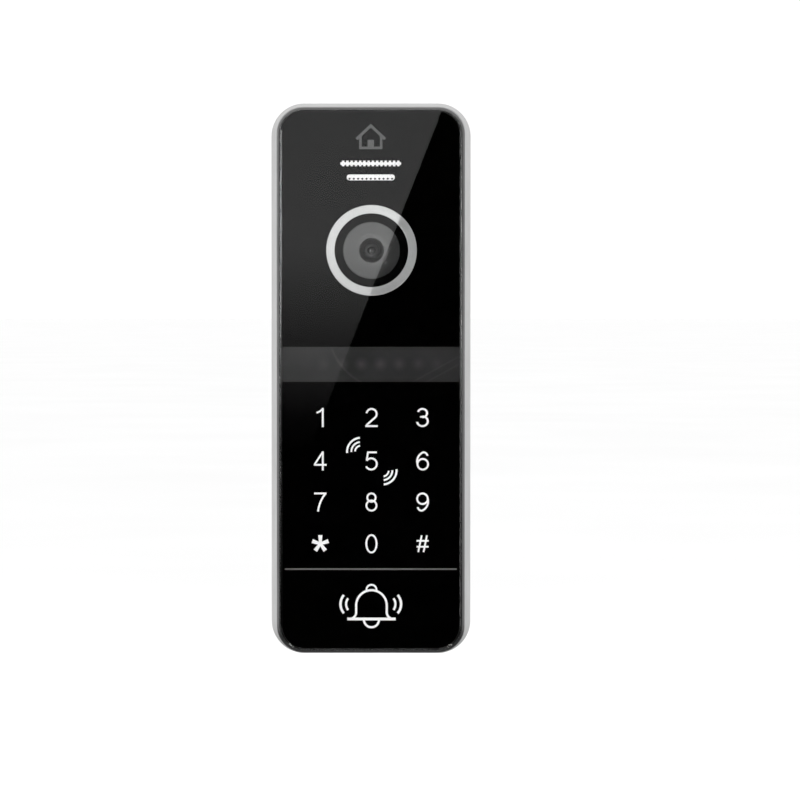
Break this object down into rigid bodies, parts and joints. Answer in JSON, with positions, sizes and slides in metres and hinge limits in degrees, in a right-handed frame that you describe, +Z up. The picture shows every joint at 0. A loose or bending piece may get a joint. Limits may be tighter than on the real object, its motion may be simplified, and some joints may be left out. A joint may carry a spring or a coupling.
{
  "type": "door intercom panel",
  "caption": "Slim wall-mounted door station: silver housing, black glass front with camera, infra-red band, touch keypad and bell, on a folded steel wall plate.",
  "frame": {"origin": "centre of the wall plate, on its wall face", "axes": "+Y into the wall (the front faces -Y), +Z up, +X right as seen from the front"},
  "size_m": [0.0606, 0.024, 0.1678],
  "materials": {
    "silver_paint": "satin silver paint",
    "zinc_steel": "zinc-plated sheet",
    "foam_black": "closed-cell foam",
    "frame_dark": "gloss moulded",
    "cover_black": "fine spark texture",
    "screw_steel": "nickel-plated",
    "clear_glass": "polished",
    "mask_black": "printed",
    "legend_white": "printed translucent white",
    "legend_grey": "printed grey",
    "smoked_window": "smoked infra-red film",
    "mesh_silver": "etched mesh",
    "ring_silver": "satin anodised",
    "shroud_black": "matte moulded",
    "bezel_grey": "satin moulded",
    "lens_black": "fine matte",
    "lens_glass": "coated",
    "circuit_green": "solder mask",
    "chip_black": "moulded epoxy",
    "guide_white": "diffusing film",
    "coil_copper": "etched copper",
    "lamp_clear": "tinted epoxy",
    "can_silver": "sleeved can",
    "relay_blue": "moulded case",
    "socket_cream": "moulded",
    "lead_red": "insulated wire",
    "ribbon_white": "flat flexible cable",
    "terminal_green": "moulded",
    "magnet_steel": "plated",
    "cone_paper": "treated paper",
    "spring_steel": "spring wire",
    "control_white": "moulded",
    "control_blue": "moulded"
  },
  "bodies": {
    "wall_mount": {"wall_plate": "zinc_steel"},
    "front_unit": {"wall_seal": "foam_black", "housing": "silver_paint", "front_frame": "frame_dark", "rear_cover": "cover_black", "cover_screws": "screw_steel", "frame_screws": "screw_steel", "security_screw": "screw_steel", "clamp_nut": "screw_steel", "front_glass": "clear_glass", "mask_print": "mask_black", "key_legends": "legend_white", "bell_legend": "legend_white", "tag_legend": "legend_white", "house_mark": "legend_grey", "divider_line": "legend_grey", "ir_window": "smoked_window", "adhesive_frame": "foam_black", "speaker_mesh": "mesh_silver", "camera_ring": "ring_silver", "camera_shroud": "shroud_black", "lens_bezel": "bezel_grey", "lens_barrel": "lens_black", "lens_glass": "lens_glass", "lens_holder": "lens_black", "camera_board": "circuit_green", "camera_screws": "screw_steel", "speaker_frame": "lens_black", "speaker_magnet": "magnet_steel", "speaker_cone": "cone_paper", "speaker_gasket": "foam_black", "microphone": "can_silver", "microphone_boot": "foam_black", "ir_board": "circuit_green", "ir_leds": "lamp_clear", "touch_board": "circuit_green", "light_guide": "guide_white", "tag_coil": "coil_copper", "main_board": "circuit_green", "board_screws": "screw_steel", "board_chips": "chip_black", "capacitors": "can_silver", "relay": "relay_blue", "board_connectors": "socket_cream", "speaker_leads": "lead_red", "camera_ribbon": "ribbon_white", "terminal_block": "terminal_green", "terminal_screws": "screw_steel", "tamper_switch": "chip_black", "tamper_spring": "spring_steel", "volume_trimmer": "control_blue", "setup_switch": "chip_black"},
    "tamper_plunger": {"tamper_plunger": "control_white"},
    "volume_rotor": {"volume_rotor": "control_white"},
    "setup_button": {"setup_button": "control_white"}
  },
  "joints": [
    {"name": "unit_swing", "type": "hinge", "parent": "wall_mount", "child": "front_unit", "pos_m": [0, -0.0027, 0.08], "axis": [-1, 0, 0], "range_deg": [0, 20]},
    {"name": "tamper_travel", "type": "slide", "parent": "front_unit", "child": "tamper_plunger", "axis": [0, 1, 0], "range_m": [0, 0.0015], "stiffness_N_per_m": 150, "springref_m": 0.003, "deforming": ["tamper_spring"]},
    {"name": "volume_turn", "type": "hinge", "parent": "front_unit", "child": "volume_rotor", "pos_m": [-0.014, -0.0108, 0.013], "axis": [0, 1, 0], "range_deg": [-135, 135]},
    {"name": "setup_press", "type": "slide", "parent": "front_unit", "child": "setup_button", "axis": [0, -1, 0], "range_m": [0, 0.00035], "stiffness_N_per_m": 2500, "springref_m": -0.0001}
  ]
}
